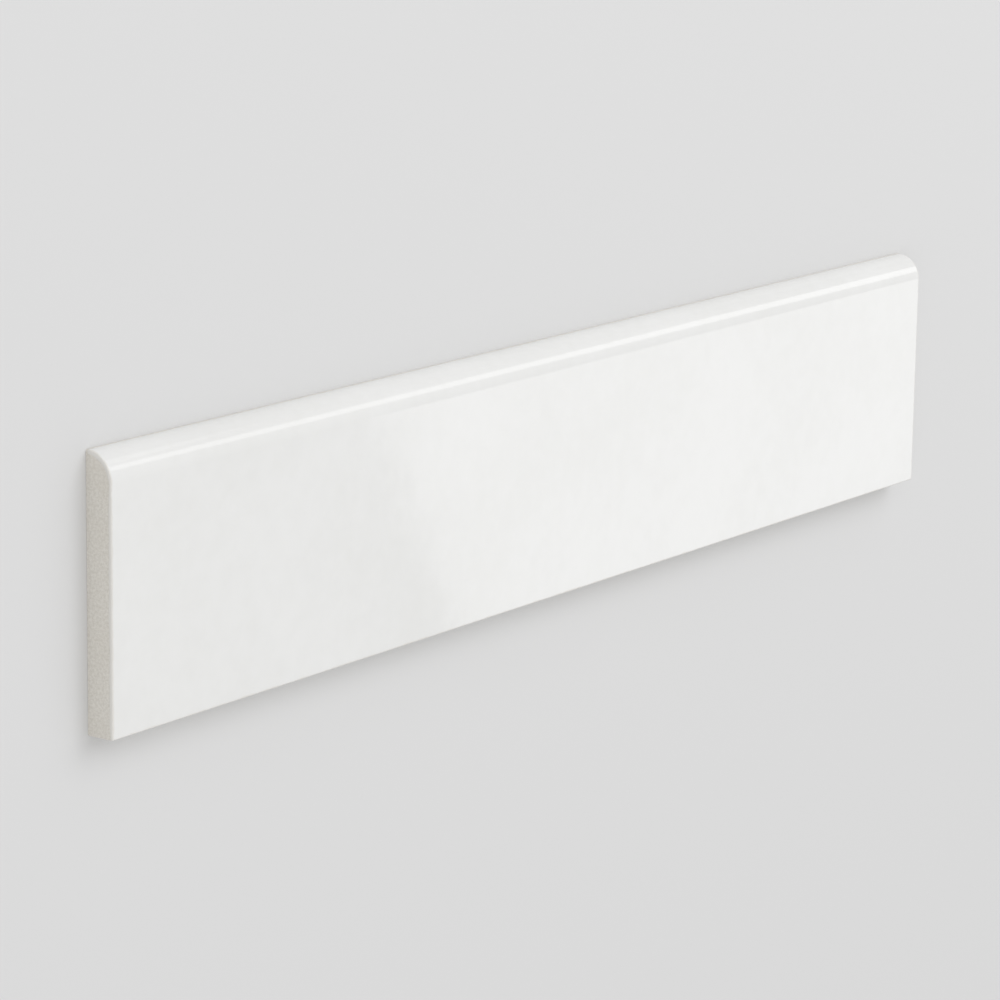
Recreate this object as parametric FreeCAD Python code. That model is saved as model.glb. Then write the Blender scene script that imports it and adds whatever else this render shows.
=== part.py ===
"""Bullnose tile: a ceramic trim tile with one long edge rounded over, pressed and fired as one piece.

It is modelled lying on its back, in millimetres. The origin is the centre of the back,
X runs along the length, Y towards the bullnose and Z out through the glazed face.
"""

import FreeCAD
import Part
import math
import os

# The tile
LENGTH = 450.0
HEIGHT = 85.0  # from the square lower edge to the top of the bullnose
THICKNESS = 9.5  # from the back to the glazed face
NOSE_LAND = 0.5  # square strip left between the bullnose and the back
ARRIS = 0.5  # bevel round the face, along its lower edge and over both ends

# The mortar key: rows of shallow recesses pressed into the back, with ribs between them
KEY_BORDER = 5.0  # plain margin round the recesses
KEY_RECESS = 20.0  # side of a recess that the rows aim for before they are spread to fill the back
KEY_RIB = 5.0  # width of a rib at the back
KEY_DEPTH = 0.8
KEY_DRAFT = 0.8  # set-in of a recess's floor from its mouth, so that the die draws out
KEY_CORNER = 1.5  # corner radius of a recess's floor

NODE = "bullnose_tile"


def tile_section():
    """The section at the left end: square below, with a quarter-round bullnose above."""
    low = -HEIGHT / 2
    high = HEIGHT / 2
    nose_radius = THICKNESS - NOSE_LAND
    nose_centre = high - nose_radius
    nose_reach = nose_radius * math.cos(math.radians(45))

    def point(y, z):
        return FreeCAD.Vector(-LENGTH / 2, y, z)

    face_low = point(low, THICKNESS)
    face_high = point(nose_centre, THICKNESS)
    nose_middle = point(nose_centre + nose_reach, NOSE_LAND + nose_reach)
    nose_end = point(high, NOSE_LAND)
    outline = [
        Part.LineSegment(point(low, 0), face_low),
        Part.LineSegment(face_low, face_high),
        Part.Arc(face_high, nose_middle, nose_end),
        Part.LineSegment(nose_end, point(high, 0)),
        Part.LineSegment(point(high, 0), point(low, 0)),
    ]
    return Part.Face(Part.Wire([piece.toShape() for piece in outline]))


def bevel_face(body):
    """Bevels the glazed face's lower edge, and both of its ends right over the bullnose."""
    border = []
    for edge in body.Edges:
        middle = edge.valueAt((edge.FirstParameter + edge.LastParameter) / 2)
        on_lower_side = math.isclose(middle.y, -HEIGHT / 2)
        on_end = math.isclose(abs(middle.x), LENGTH / 2)
        is_lower_edge = on_lower_side and math.isclose(middle.z, THICKNESS)
        is_end_edge = on_end and not on_lower_side and middle.z > NOSE_LAND
        if is_lower_edge or is_end_edge:
            border.append(edge)
    return body.makeChamfer(ARRIS, border)


def spread(span):
    """Size and centres of the recesses in a row that fills a span of the back inside its border."""
    room = span - 2 * KEY_BORDER + KEY_RIB
    count = max(1, round(room / (KEY_RECESS + KEY_RIB)))
    pitch = room / count
    centres = [(index - (count - 1) / 2) * pitch for index in range(count)]
    return pitch - KEY_RIB, centres


def key_recess(size_x, size_y):
    """A drafted recess with round corners, carried on below the back so that it cuts a clean mouth."""
    mouth_corner = KEY_CORNER + KEY_DRAFT
    core_x = size_x - 2 * mouth_corner
    core_y = size_y - 2 * mouth_corner
    core = Part.makePlane(core_x, core_y, FreeCAD.Vector(-core_x / 2, -core_y / 2, 0)).OuterWire
    floor = core.makeOffset2D(KEY_CORNER)
    floor.translate(FreeCAD.Vector(0, 0, KEY_DEPTH))
    below = core.makeOffset2D(mouth_corner + KEY_DRAFT)
    below.translate(FreeCAD.Vector(0, 0, -KEY_DEPTH))
    return Part.makeLoft([below, floor], True, True)


def mortar_key():
    """A recess for every place in the rows that cover the back."""
    size_x, centres_x = spread(LENGTH)
    size_y, centres_y = spread(HEIGHT)
    recess = key_recess(size_x, size_y)
    return [recess.translated(FreeCAD.Vector(x, y, 0)) for x in centres_x for y in centres_y]


def bullnose_tile():
    body = tile_section().extrude(FreeCAD.Vector(LENGTH, 0, 0))
    return bevel_face(body).cut(mortar_key())


os.makedirs("parts", exist_ok=True)
tile = bullnose_tile()
tile.exportStep(f"parts/{NODE}.step")
print(f"{NODE}: valid {tile.isValid()}, solids {len(tile.Solids)}, volume {tile.Volume / 1000:.1f} cm3")
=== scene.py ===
"""The looks of a white glazed bullnose tile that lies on its back on a pale floor."""

import math
from itertools import accumulate

import bpy
from mathutils import Matrix, Quaternion, Vector, noise

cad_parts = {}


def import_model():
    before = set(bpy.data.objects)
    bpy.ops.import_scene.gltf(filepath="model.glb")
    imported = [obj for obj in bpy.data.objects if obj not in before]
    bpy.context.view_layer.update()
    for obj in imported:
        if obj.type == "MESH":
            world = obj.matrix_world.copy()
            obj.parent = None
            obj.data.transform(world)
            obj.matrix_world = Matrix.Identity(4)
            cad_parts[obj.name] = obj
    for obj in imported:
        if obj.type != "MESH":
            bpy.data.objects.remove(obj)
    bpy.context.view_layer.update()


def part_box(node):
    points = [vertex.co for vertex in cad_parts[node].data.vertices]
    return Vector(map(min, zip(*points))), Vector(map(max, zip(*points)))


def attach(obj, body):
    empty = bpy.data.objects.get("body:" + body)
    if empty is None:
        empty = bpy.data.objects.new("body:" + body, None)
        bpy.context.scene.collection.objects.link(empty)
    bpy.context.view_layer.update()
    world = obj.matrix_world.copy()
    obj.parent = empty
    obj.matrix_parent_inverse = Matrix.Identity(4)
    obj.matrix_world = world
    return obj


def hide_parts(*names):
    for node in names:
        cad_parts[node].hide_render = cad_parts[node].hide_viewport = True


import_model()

MM = 0.001
NODE = "bullnose_tile"
SLOT = "white_glaze"

# The tile's box, read from the mesh in model.glb
tile_low, tile_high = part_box(NODE)
LENGTH, HEIGHT, THICKNESS = tile_high - tile_low

# Section and edges
NOSE_LAND = 0.5 * MM
NOSE_RADIUS = THICKNESS - NOSE_LAND
NOSE_CENTRE_Y = tile_high.y - NOSE_RADIUS
END_ARRIS = 0.5 * MM  # radius to which the ends' edges are rounded
LOWER_ARRIS = 0.6 * MM  # the same for the lower edge of the face

# Mortar key in the back
KEY_BORDER = 5.0 * MM
KEY_RECESS = 20.0 * MM
KEY_RIB = 5.0 * MM
KEY_DEPTH = 0.8 * MM
KEY_DRAFT = 0.8 * MM
KEY_MOUTH_CORNER = 2.3 * MM

# Waves that firing leaves in the glazed face
WAVE_LENGTH = 38.0 * MM
WAVE_HEIGHT = 0.02 * MM

# Mesh lines
ARRIS_STEPS = 5
KEY_STEPS = (0.0, 0.4 * MM, 0.8 * MM, 1.5 * MM, 2.3 * MM)  # inwards from the mouth of a recess
EDGE_STEPS = (0.5 * MM, 1.1 * MM, 2.0 * MM, 3.2 * MM)  # inwards from the rounded edges
FACE_STEP = 4.0 * MM  # the most that lines lie apart on the face
NOSE_STEP = 0.55 * MM  # the same round the bullnose
LEAST_STEP = 0.12 * MM  # the least that lines lie apart
WALL_ROWS = 12
WALL_CROWDING = 1.6  # over 1, the rows crowd towards the glaze
WALL_RISES = [1 - (1 - row / WALL_ROWS) ** WALL_CROWDING for row in range(WALL_ROWS + 1)]
SHARP_ANGLE = math.radians(40)

# Values that the mesh carries for the material
DEPTH_NAME = "glaze_depth"  # how far a point lies under the glazed surface
EDGE_NAME = "edge_distance"  # how far a point of the top lies from its ends and its lower edge

# Places of the tile's sides on its texture map, each as its lower left and upper right corner
MAP_NAME = "OFBake"
MAP_TOP = ((0.005, 0.005), (0.995, 0.500))
MAP_BACK = ((0.005, 0.520), (0.995, 0.800))
MAP_LOWER_EDGE = ((0.005, 0.820), (0.995, 0.885))
MAP_NOSE_FOOT = ((0.005, 0.900), (0.995, 0.915))
MAP_LEFT_END = ((0.005, 0.930), (0.490, 0.995))
MAP_RIGHT_END = ((0.510, 0.930), (0.995, 0.995))

# Glaze and body
GLAZE_DIM = (0.812, 0.812, 0.798, 1)
GLAZE_FULL = (0.842, 0.842, 0.832, 1)
GLAZE_THIN = (0.70, 0.66, 0.59, 1)  # where it draws back from an edge and the body shows through
BODY_DARK = (0.66, 0.63, 0.57, 1)
BODY_PALE = (0.80, 0.775, 0.72, 1)
BODY_STAIN = (0.68, 0.64, 0.57, 1)
GLAZE_ROUGHNESS = (0.05, 0.09)
BODY_ROUGHNESS = 0.82
GLAZE_IOR = 1.52
MOTTLE_SHARE = 0.4  # of the mottle in the glaze's clouds
THIN_SHARE = 0.45  # the most that thin glaze shows
STAIN_SHARE = 0.3  # the most that stains show
RELIEF = 0.25 * MM
GLAZE_SHARE = 0.4  # of the relief, by which the glaze stands over the body
RIPPLE_SHARE = 0.06  # of the relief, on the glaze
GRAIN_SHARE = 0.35  # of the relief, on the bare body

# Noises, each as its wavelength, its detail and, where it isn't the plain one, its roughness
PLAIN_NOISE_ROUGHNESS = 0.5
LINE_NOISE = (9.0 * MM, 3.0)
THIN_NOISE = (4.0 * MM, 3.0)
CLOUD_NOISE = (60.0 * MM, 3.0)
MOTTLE_NOISE = (6.0 * MM, 3.0)
GLOSS_NOISE = (12.0 * MM, 2.0)
RIPPLE_NOISE = (5.0 * MM, 1.5)
GRAIN_NOISE = (0.9 * MM, 4.0, 0.7)
STAIN_NOISE = (18.0 * MM, 3.0)

# Levels of a noise between which its effect goes from none to all
WIDE_LEVELS = (0.2, 0.8)
NARROW_LEVELS = (0.3, 0.7)
STAIN_LEVELS = (0.45, 0.75)

# Where the glaze gives way to the body, each as the place where that starts and the place where it ends
WALL_LINE = (1.0 * MM, 1.12 * MM)  # depth under the glazed surface
FOOT_LINE = (0.65 * MM, 0.53 * MM)  # height above the back, at the foot of the bullnose
THIN_LINE = (0.9 * MM, 0.1 * MM)  # distance from an edge, where the glaze thins

# How far those lines wander either way
WALL_WANDER = 0.35 * MM
FOOT_WANDER = 0.15 * MM
THIN_WANDER = 0.3 * MM

# Lamps, each as its name, its direction from the tile, its turn about that direction in degrees,
# its distance, its width, its height and its power
LAMPS = (
    ("key", (0.25, 0.58, 0.77), 0, 2.0, 1.6, 1.6, 14.5),
    ("fill", (-0.75, -0.29, 0.60), -20, 2.0, 1.4, 1.4, 5.2),
    ("nose_light_right", (0.79, 0.38, 0.48), 44, 1.8, 0.8, 0.4, 1.3),  # mirrored along the bullnose
    ("nose_light_left", (-0.57, 0.59, 0.57), -29, 1.8, 0.8, 0.4, 1.4),  # the same, for views from the right
    ("face_light", (0.84, -0.24, 0.49), 30, 1.8, 0.5, 0.5, 0.7),  # mirrored in the face
    ("back_strip", (0.37, 0.87, 0.33), 0, 2.5, 2.2, 0.6, 2.1),  # the same, for low views from the front
    ("front_strip", (0.36, -0.84, 0.41), 0, 2.5, 2.2, 1.2, 4.2),  # the same, for low views from behind
)

# World and floor
WORLD_COLOUR = (1, 1, 1, 1)
WORLD_LIGHT = 0.60
FLOOR_COLOUR = (0.73, 0.73, 0.73, 1)
FLOOR_ROUGHNESS = 0.9
FLOOR_SPECULAR = 0.1
FLOOR_REACH = 15.0
FLOOR_GAP = 0.05 * MM  # keeps the floor out of the plane of the tile's back

# Camera, fitted to the drawing's edges
CAMERA_PLACE = Vector((-1.0762, 0.2910, 0.7668))
CAMERA_AIM = Vector((-0.0371, -0.0041, 0.0095))
CAMERA_ROLL = math.radians(0.86)
CAMERA_LENS = 147.2
CAMERA_SENSOR = 36.0


def spread(span):
    """Size and centres of the key recesses in a row across a span of the back."""
    room = span - 2 * KEY_BORDER + KEY_RIB
    count = round(room / (KEY_RECESS + KEY_RIB))
    pitch = room / count
    return pitch - KEY_RIB, [(index - (count - 1) / 2) * pitch for index in range(count)]


RECESS_X, RECESS_CENTRES_X = spread(LENGTH)
RECESS_Y, RECESS_CENTRES_Y = spread(HEIGHT)


def smoothstep(value):
    """Goes smoothly from 0 to 1 as a value does, and stays level past both ends."""
    value = min(max(value, 0.0), 1.0)
    return value * value * (3 - 2 * value)


def key_depth(x, y):
    """How deep the back is pressed in at a point: a flat floor, drafted walls and round corners."""
    from_x = min(abs(x - centre) for centre in RECESS_CENTRES_X)
    from_y = min(abs(y - centre) for centre in RECESS_CENTRES_Y)
    past_x = from_x - (RECESS_X / 2 - KEY_MOUTH_CORNER)
    past_y = from_y - (RECESS_Y / 2 - KEY_MOUTH_CORNER)
    outside = math.hypot(max(past_x, 0), max(past_y, 0)) + min(max(past_x, past_y), 0) - KEY_MOUTH_CORNER
    return KEY_DEPTH * smoothstep(-outside / KEY_DRAFT)


def key_lines(size, centres):
    """Mesh lines that follow the walls of the recesses."""
    sides = [size / 2 - step for step in KEY_STEPS]
    return [centre + sign * side for centre in centres for side in sides for sign in (-1, 1)]


def mesh_lines(lines, start, end, most_apart):
    """The lines between two ends, thinned where they crowd and filled in where they lie far apart."""
    between = sorted(line for line in lines if start < line < end - LEAST_STEP)
    kept = [start]
    for line in between + [end]:
        gap = line - kept[-1]
        if gap < LEAST_STEP:
            continue
        parts = math.ceil(gap / most_apart)
        kept += [kept[-1] + gap * part / parts for part in range(1, parts + 1)]
    return kept


def quarter_turn(steps):
    """Angles of a quarter turn in equal steps, without its end."""
    return [math.pi / 2 * step / steps for step in range(steps)]


def stations():
    """Places along the length, each with how far the section is drawn in there to round the end's edge."""
    left = []
    for turn in quarter_turn(ARRIS_STEPS):
        left.append((tile_low.x + END_ARRIS * (1 - math.cos(turn)), END_ARRIS * (1 - math.sin(turn))))
    inner = tile_low.x + END_ARRIS
    lines = key_lines(RECESS_X, RECESS_CENTRES_X)
    lines += [sign * (inner + step) for step in EDGE_STEPS for sign in (-1, 1)]
    middle = [(x, 0.0) for x in mesh_lines(lines, inner, -inner, FACE_STEP)]
    right = [(-x, inset) for x, inset in reversed(left)]
    return left + middle + right


def section():
    """Points up the face from the lower edge and over the bullnose, as y, z and the outward normal."""
    points = []
    for turn in quarter_turn(ARRIS_STEPS):
        y = tile_low.y + LOWER_ARRIS * (1 - math.cos(turn))
        z = tile_high.z - LOWER_ARRIS * (1 - math.sin(turn))
        points.append((y, z, -math.cos(turn), math.sin(turn)))
    lines = key_lines(RECESS_Y, RECESS_CENTRES_Y)
    face_start = tile_low.y + LOWER_ARRIS
    face_lines = lines + [face_start + step for step in EDGE_STEPS]
    for y in mesh_lines(face_lines, face_start, NOSE_CENTRE_Y, FACE_STEP):
        points.append((y, tile_high.z, 0.0, 1.0))
    nose_reaches = [y - NOSE_CENTRE_Y for y in lines if y > NOSE_CENTRE_Y]
    nose_lines = [NOSE_RADIUS * math.asin(reach / NOSE_RADIUS) for reach in nose_reaches]
    for arc in mesh_lines(nose_lines, 0.0, NOSE_RADIUS * math.pi / 2, NOSE_STEP)[1:]:
        normal_y = math.sin(arc / NOSE_RADIUS)
        normal_z = math.cos(arc / NOSE_RADIUS)
        y = NOSE_CENTRE_Y + NOSE_RADIUS * normal_y
        z = NOSE_LAND + NOSE_RADIUS * normal_z
        points.append((y, z, normal_y, normal_z))
    return points


def shares(points):
    """How far along a run of points each one lies, from 0 to 1."""
    run = list(accumulate((math.dist(*pair) for pair in zip(points, points[1:])), initial=0.0))
    return [length / run[-1] for length in run]


def wave(x, y, z):
    """How far firing has drawn the glazed surface in at a point."""
    return WAVE_HEIGHT * (1 + noise.noise(Vector((x, y, z)) / WAVE_LENGTH))


def glaze_depth(y, z):
    """How far a point of the section lies under the glazed surface."""
    return NOSE_RADIUS - math.hypot(max(y - NOSE_CENTRE_Y, 0), max(z - NOSE_LAND, 0))


class Vertices:
    """The tile's vertices, with the values that each one carries for the material."""

    def __init__(self):
        self.places = []
        self.depths = []
        self.edge_distances = []

    def add(self, place, depth, edge_distance=0.0):
        """Adds a vertex and returns its number."""
        self.places.append(tuple(place))
        self.depths.append(depth)
        self.edge_distances.append(edge_distance)
        return len(self.places) - 1


def top_and_back(vertices, lengthwise, crosswise):
    """Grids of vertices over the glazed top and, under the same lines, over the keyed back."""
    last_i = len(lengthwise) - 1
    last_j = len(crosswise) - 1
    top = [[] for _ in lengthwise]
    back = [[] for _ in lengthwise]
    for i, (x, inset) in enumerate(lengthwise):
        for j, (y, z, normal_y, normal_z) in enumerate(crosswise):
            drawn_in = inset
            if 0 < i < last_i and 0 < j < last_j:
                drawn_in += wave(x, y, z)
            top_y = y - normal_y * drawn_in
            edge_distance = min(tile_high.x - abs(x), y - tile_low.y)
            top[i].append(vertices.add((x, top_y, z - normal_z * drawn_in), 0.0, edge_distance))
            back[i].append(vertices.add((x, top_y, key_depth(x, y)), THICKNESS))
    return top, back


def wall_column(vertices, foot, head):
    """Vertices up a wall, from one on the rim of the back to the one over it on the rim of the top."""
    foot_place = Vector(vertices.places[foot])
    head_place = Vector(vertices.places[head])
    column = [foot]
    for rise in WALL_RISES[1:-1]:
        place = foot_place.lerp(head_place, rise)
        column.append(vertices.add(place, glaze_depth(place.y, place.z)))
    return column + [head]


def walls(vertices, top, back):
    """Grids of vertices over the four walls, which share the columns at their corners."""
    last_i = len(top) - 1
    last_j = len(top[0]) - 1

    def columns(rim):
        return [wall_column(vertices, back[i][j], top[i][j]) for i, j in rim]

    lower_edge = columns((i, 0) for i in range(last_i + 1))
    nose_foot = columns((i, last_j) for i in range(last_i, -1, -1))
    right_end = [lower_edge[-1]] + columns((last_i, j) for j in range(1, last_j)) + [nose_foot[0]]
    left_end = [nose_foot[-1]] + columns((0, j) for j in range(last_j - 1, 0, -1)) + [lower_edge[0]]
    return lower_edge, nose_foot, right_end, left_end


def patch(grid, along, across, area):
    """Faces over a grid of vertices, each with the places of its corners on an area of the texture map."""
    (left, low), (right, high) = area
    columns = [left + (right - left) * share for share in along]
    rows = [low + (high - low) * share for share in across]
    for i in range(len(columns) - 1):
        for j in range(len(rows) - 1):
            corners = [(i, j), (i + 1, j), (i + 1, j + 1), (i, j + 1)]
            yield [grid[a][b] for a, b in corners], [(columns[a], rows[b]) for a, b in corners]


def tile_mesh():
    """One closed mesh: the glazed top, the keyed back and the walls round them."""
    lengthwise = stations()
    crosswise = section()
    vertices = Vertices()
    top, back = top_and_back(vertices, lengthwise, crosswise)
    lower_edge, nose_foot, right_end, left_end = walls(vertices, top, back)

    along = shares(lengthwise)
    across = shares([(y, z) for y, z, *_ in crosswise])
    across_reversed = [1 - share for share in reversed(across)]
    patches = (
        (top, along, across, MAP_TOP),
        (back[::-1], along, across, MAP_BACK),
        (lower_edge, along, WALL_RISES, MAP_LOWER_EDGE),
        (nose_foot, along, WALL_RISES, MAP_NOSE_FOOT),
        (right_end, across, WALL_RISES, MAP_RIGHT_END),
        (left_end, across_reversed, WALL_RISES, MAP_LEFT_END),
    )
    faces = []
    map_numbers = []
    for patch_values in patches:
        for face, map_corners in patch(*patch_values):
            faces.append(face)
            for map_corner in map_corners:
                map_numbers += map_corner

    mesh = bpy.data.meshes.new(NODE)
    mesh.from_pydata(vertices.places, [], faces)
    mesh.shade_smooth()
    mesh.set_sharp_from_angle(angle=SHARP_ANGLE)
    mesh.uv_layers.new(name=MAP_NAME).uv.foreach_set("vector", map_numbers)
    for name, values in ((DEPTH_NAME, vertices.depths), (EDGE_NAME, vertices.edge_distances)):
        mesh.attributes.new(name, "FLOAT", "POINT").data.foreach_set("value", values)
    return mesh


class Nodes:
    """A short way to write a material's nodes."""

    def __init__(self, name):
        self.material = bpy.data.materials.new(name)
        self.material.use_nodes = True
        self.tree = self.material.node_tree
        self.shader = self.tree.nodes["Principled BSDF"]
        self.place = self.add("ShaderNodeTexCoord").outputs["Object"]

    def add(self, kind, inputs=None, **settings):
        made = self.tree.nodes.new(kind)
        for key, value in settings.items():
            setattr(made, key, value)
        for key, value in (inputs or {}).items():
            self.put(made.inputs[key], value)
        return made

    def put(self, socket, value):
        """Links a socket to another node's output, or sets it to a value."""
        if isinstance(value, bpy.types.NodeSocket):
            self.tree.links.new(value, socket)
        else:
            socket.default_value = value

    def math(self, operation, *values):
        return self.add("ShaderNodeMath", dict(enumerate(values)), operation=operation).outputs[0]

    def noise(self, wavelength, detail, roughness=PLAIN_NOISE_ROUGHNESS):
        inputs = {"Vector": self.place, "Scale": 1 / wavelength, "Detail": detail, "Roughness": roughness}
        return self.add("ShaderNodeTexNoise", inputs).outputs["Fac"]

    def attribute(self, name):
        return self.add("ShaderNodeAttribute", attribute_name=name).outputs["Fac"]

    def fade(self, value, span, result=(0.0, 1.0)):
        """Goes smoothly from the first result to the second as a value crosses a span."""
        start, end = span
        low, high = result
        inputs = {"Value": value, "From Min": start, "From Max": end, "To Min": low, "To Max": high}
        return self.add("ShaderNodeMapRange", inputs, interpolation_type="SMOOTHSTEP").outputs["Result"]

    def wander(self, value, noise_values, reach):
        """Adds an unevenness of up to a reach either way to a distance."""
        return self.math("ADD", value, self.fade(self.noise(*noise_values), WIDE_LEVELS, (-reach, reach)))

    def mix(self, factor, first, second, kind="Color"):
        """Goes from the first colour or number to the second."""
        data_type = {"Color": "RGBA", "Float": "FLOAT"}[kind]
        made = self.add("ShaderNodeMix", {"Factor": factor}, data_type=data_type)
        for name, value in (("A", first), ("B", second)):
            self.put(next(socket for socket in made.inputs if socket.identifier == f"{name}_{kind}"), value)
        return next(socket for socket in made.outputs if socket.identifier == f"Result_{kind}")


def bare_share(nodes):
    """Where the body is bare: below an uneven glaze line on the walls, and at the foot of the bullnose."""
    depth = nodes.wander(nodes.attribute(DEPTH_NAME), LINE_NOISE, WALL_WANDER)
    height = nodes.add("ShaderNodeSeparateXYZ", {"Vector": nodes.place}).outputs["Z"]
    height = nodes.wander(height, LINE_NOISE, FOOT_WANDER)
    return nodes.math("MAXIMUM", nodes.fade(depth, WALL_LINE), nodes.fade(height, FOOT_LINE))


def glaze_colour(nodes):
    """An almost even white with faint clouds, a little warmer where it draws back from the edges."""
    clouds = nodes.mix(MOTTLE_SHARE, nodes.noise(*CLOUD_NOISE), nodes.noise(*MOTTLE_NOISE), "Float")
    white = nodes.mix(nodes.fade(clouds, NARROW_LEVELS), GLAZE_DIM, GLAZE_FULL)
    from_edge = nodes.wander(nodes.attribute(EDGE_NAME), THIN_NOISE, THIN_WANDER)
    return nodes.mix(nodes.fade(from_edge, THIN_LINE, (0.0, THIN_SHARE)), white, GLAZE_THIN)


def body_colour(nodes, grain):
    """Off-white fired clay with a fine grain and faint stains."""
    clay = nodes.mix(nodes.fade(grain, NARROW_LEVELS), BODY_DARK, BODY_PALE)
    stains = nodes.fade(nodes.noise(*STAIN_NOISE), STAIN_LEVELS, (0.0, STAIN_SHARE))
    return nodes.mix(stains, clay, BODY_STAIN)


def tile_material():
    """Gloss glaze that ends in an uneven line, with the matt body bare below it."""
    nodes = Nodes(SLOT)
    shader_inputs = nodes.shader.inputs
    bare = bare_share(nodes)
    grain = nodes.noise(*GRAIN_NOISE)

    nodes.put(shader_inputs["Base Color"], nodes.mix(bare, glaze_colour(nodes), body_colour(nodes, grain)))
    gloss = nodes.fade(nodes.noise(*GLOSS_NOISE), WIDE_LEVELS, GLAZE_ROUGHNESS)
    nodes.put(shader_inputs["Roughness"], nodes.mix(bare, gloss, BODY_ROUGHNESS, "Float"))
    nodes.put(shader_inputs["IOR"], GLAZE_IOR)

    ripple = nodes.math("MULTIPLY_ADD", nodes.noise(*RIPPLE_NOISE), RIPPLE_SHARE, GLAZE_SHARE)
    relief = nodes.mix(bare, ripple, nodes.math("MULTIPLY", grain, GRAIN_SHARE), "Float")
    bump = nodes.add("ShaderNodeBump", {"Height": relief, "Distance": RELIEF})
    nodes.put(shader_inputs["Normal"], bump.outputs["Normal"])
    return nodes.material


def new_object(name, data):
    made = bpy.data.objects.new(name, data)
    bpy.context.scene.collection.objects.link(made)
    return made


def floor():
    mesh = bpy.data.meshes.new("floor")
    sides = ((-1, -1), (1, -1), (1, 1), (-1, 1))
    corners = [(x * FLOOR_REACH, y * FLOOR_REACH, -FLOOR_GAP) for x, y in sides]
    mesh.from_pydata(corners, [], [(0, 1, 2, 3)])
    material = bpy.data.materials.new("pale_floor")
    material.use_nodes = True
    shader = material.node_tree.nodes["Principled BSDF"]
    shader.inputs["Base Color"].default_value = FLOOR_COLOUR
    shader.inputs["Roughness"].default_value = FLOOR_ROUGHNESS
    shader.inputs["Specular IOR Level"].default_value = FLOOR_SPECULAR
    mesh.materials.append(material)
    made = new_object("floor", mesh)


def lamp(name, direction, turn, distance, width, height, power):
    """A soft box that faces the tile."""
    data = bpy.data.lights.new(name, "AREA")
    data.shape = "RECTANGLE"
    data.size = width
    data.size_y = height
    data.energy = power
    made = new_object(name, data)
    away = Vector(direction).normalized()
    made.location = away * distance
    facing = away.to_track_quat("Z", "Y") @ Quaternion((0, 0, 1), math.radians(turn))
    made.rotation_euler = facing.to_euler()


def world():
    made = bpy.data.worlds.new("studio")
    made.use_nodes = True
    background = made.node_tree.nodes["Background"]
    background.inputs["Color"].default_value = WORLD_COLOUR
    background.inputs["Strength"].default_value = WORLD_LIGHT
    bpy.context.scene.world = made


def camera():
    """Looks down on the tile, turned so that the bullnose is at the top of the picture."""
    data = bpy.data.cameras.new("camera")
    data.lens = CAMERA_LENS
    data.sensor_width = CAMERA_SENSOR
    made = new_object("camera", data)
    towards_bullnose = Vector((0, 1, 0))
    back = (CAMERA_PLACE - CAMERA_AIM).normalized()
    right = towards_bullnose.cross(back).normalized()
    up = back.cross(right)
    turned = Matrix((right, up, back)).transposed() @ Matrix.Rotation(CAMERA_ROLL, 3, "Z")
    made.matrix_world = Matrix.Translation(CAMERA_PLACE) @ turned.to_4x4()
    bpy.context.scene.camera = made


tile = new_object("glazed_tile", tile_mesh())
tile.data.materials.append(tile_material())
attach(tile, "root")
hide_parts(NODE)

floor()
for lamp_values in LAMPS:
    lamp(*lamp_values)
world()
camera()
bpy.context.scene.view_settings.view_transform = "Standard"

bpy.context.view_layer.update()
